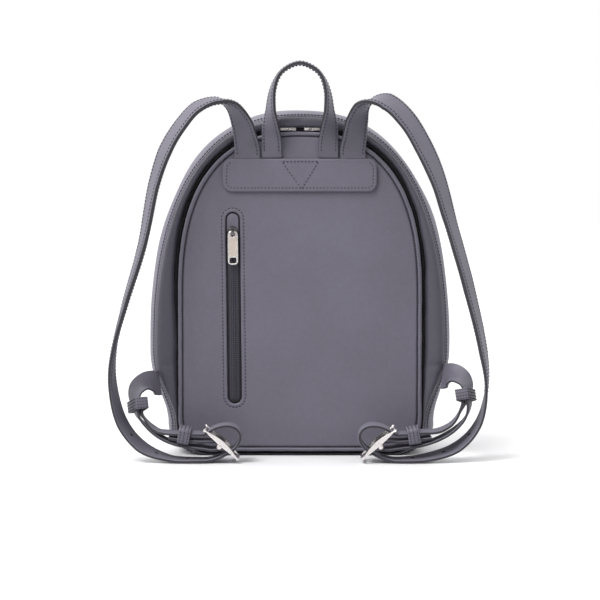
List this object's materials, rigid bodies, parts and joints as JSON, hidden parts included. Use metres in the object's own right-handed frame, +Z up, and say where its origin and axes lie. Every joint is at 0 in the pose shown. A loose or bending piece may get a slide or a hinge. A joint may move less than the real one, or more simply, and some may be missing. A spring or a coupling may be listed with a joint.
{
  "type": "backpack",
  "caption": "Small dome-shaped leather backpack whose main zip opens against the wearer's back, with a back pocket, top handle and belt straps on buckles.",
  "frame": {"origin": "centre of the flat base that the bag stands on", "axes": "+Z up, +X to the right when looking at the back panel, which faces -Y"},
  "size_m": [0.3553, 0.1603, 0.3725],
  "materials": {
    "leather": "soft grained leather, satin",
    "zip_cloth": "woven tape",
    "zip_teeth": "nylon coil",
    "metal": "polished pale plating"
  },
  "bodies": {
    "bag": {"front_shell": "leather", "gusset_lip": "leather", "back_panel": "leather", "panel_welt": "leather", "yoke_patch": "leather", "top_handle": "leather", "pocket_zip_garage": "leather", "side_tab_left": "leather", "shoulder_strap_left": "leather", "keeper_upper_left": "leather", "keeper_lower_left": "leather", "side_tab_right": "leather", "shoulder_strap_right": "leather", "keeper_upper_right": "leather", "keeper_lower_right": "leather", "main_zip_tape": "zip_cloth", "pocket_zip_tape": "zip_cloth", "pocket_zip_coil": "zip_teeth", "main_zip_chain_left": "zip_teeth", "main_zip_chain_right": "zip_teeth", "pocket_zip_slider": "metal", "main_zip_slider_left": "metal", "buckle_frame_left": "metal", "buckle_prong_left": "metal", "main_zip_slider_right": "metal", "buckle_frame_right": "metal", "buckle_prong_right": "metal"},
    "pocket_puller": {"pocket_zip_puller": "metal"},
    "main_puller_left": {"main_zip_puller_left": "metal"},
    "main_puller_right": {"main_zip_puller_right": "metal"}
  },
  "joints": [
    {"name": "pocket_puller_swing", "type": "hinge", "parent": "bag", "child": "pocket_puller", "pos_m": [-0.06336, -0.0546, 0.21285], "axis": [-0.9999, 0, -0.0105], "range_deg": [0, 150]},
    {"name": "main_puller_left_swing", "type": "hinge", "parent": "bag", "child": "main_puller_left", "pos_m": [-0.0075, -0.04655, 0.309], "axis": [0, 0, 1], "range_deg": [0, 120]},
    {"name": "main_puller_right_swing", "type": "hinge", "parent": "bag", "child": "main_puller_right", "pos_m": [0.0075, -0.04655, 0.309], "axis": [0, 0, -1], "range_deg": [0, 120]}
  ]
}
